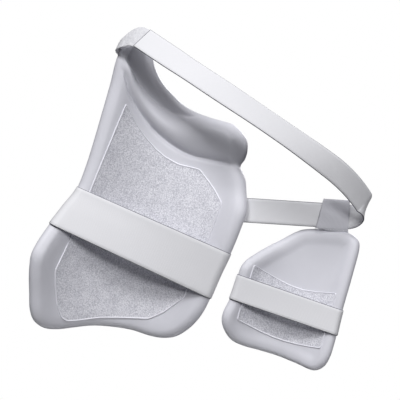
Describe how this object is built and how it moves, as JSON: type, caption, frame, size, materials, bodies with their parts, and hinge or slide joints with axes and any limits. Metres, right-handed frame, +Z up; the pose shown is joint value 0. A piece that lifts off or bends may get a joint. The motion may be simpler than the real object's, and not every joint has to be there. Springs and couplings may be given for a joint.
{
  "type": "batting thigh guard set",
  "caption": "Moulded outer thigh guard with hip roll, small inner thigh guard, elastic thigh straps and an elastic waist belt",
  "frame": {"origin": "middle of the waist loop, level with the wearer's waist belt at mid width", "axes": "+Z up as worn, +X the wearer's right, +Y the wearer's front; both guards are hollow towards -Y"},
  "size_m": [0.4607, 0.1518, 0.4565],
  "materials": {
    "white_moulded_foam": "satin",
    "white_lining": "matte",
    "white_piping": "satin",
    "white_plate": "satin",
    "white_webbing": "matte",
    "white_loop_tape": "matte",
    "white_hook_tape": "matte",
    "white_patch": "satin"
  },
  "bodies": {
    "outer_guard_and_belt": {"belt_loop_tab": "white_loop_tape", "belt_sewn_patch": "white_patch", "belt_tab_sewn_patch": "white_patch", "outer_guard_body_side_foam": "white_moulded_foam", "outer_guard_hip_roll": "white_moulded_foam", "outer_guard_impact_plate": "white_plate", "outer_guard_lining_panel": "white_lining", "outer_guard_lining_welt": "white_piping", "outer_guard_moulded_shell": "white_moulded_foam", "outer_strap_loop_tape": "white_loop_tape", "outer_strap_sewn_patch": "white_patch", "outer_thigh_strap": "white_webbing", "waist_belt": "white_webbing"},
    "belt_end": {"belt_peeling_end": "white_webbing", "belt_hook_tape": "white_hook_tape"},
    "outer_strap_end": {"outer_strap_peeling_end": "white_webbing", "outer_strap_hook_tape": "white_hook_tape"},
    "sleeve": {"belt_sleeve": "white_webbing"},
    "inner_guard": {"inner_guard_body_side_foam": "white_moulded_foam", "inner_guard_hanger_tongue": "white_webbing", "inner_guard_impact_plate": "white_plate", "inner_guard_lining_panel": "white_lining", "inner_guard_lining_welt": "white_piping", "inner_guard_moulded_shell": "white_moulded_foam", "inner_thigh_strap": "white_webbing", "inner_strap_loop_tape": "white_loop_tape", "inner_strap_sewn_patch": "white_patch"},
    "inner_strap_end": {"inner_strap_peeling_end": "white_webbing", "inner_strap_hook_tape": "white_hook_tape"}
  },
  "joints": [
    {"name": "belt_end_peel", "type": "hinge", "parent": "outer_guard_and_belt", "child": "belt_end", "pos_m": [-0.1464, -0.0124, 0.0709], "axis": [0.2332, -0.1043, 0.9668], "range_deg": [0, 80]},
    {"name": "outer_strap_peel", "type": "hinge", "parent": "outer_guard_and_belt", "child": "outer_strap_end", "pos_m": [-0.21, 0.07193, -0.19], "axis": [0, 0, 1], "range_deg": [0, 90]},
    {"name": "sleeve_slide", "type": "slide", "parent": "outer_guard_and_belt", "child": "sleeve", "axis": [0.9646, 0, 0.2639], "range_m": [-0.012, 0.003]},
    {"name": "inner_guard_swing", "type": "hinge", "parent": "sleeve", "child": "inner_guard", "pos_m": [0.1552, 0.0643, -0.08681], "axis": [0.9646, 0, 0.2639], "range_deg": [-50, 20]},
    {"name": "inner_strap_peel", "type": "hinge", "parent": "inner_guard", "child": "inner_strap_end", "pos_m": [0.19973, 0.06223, -0.2075], "axis": [0, 0, -1], "range_deg": [0, 90]}
  ]
}
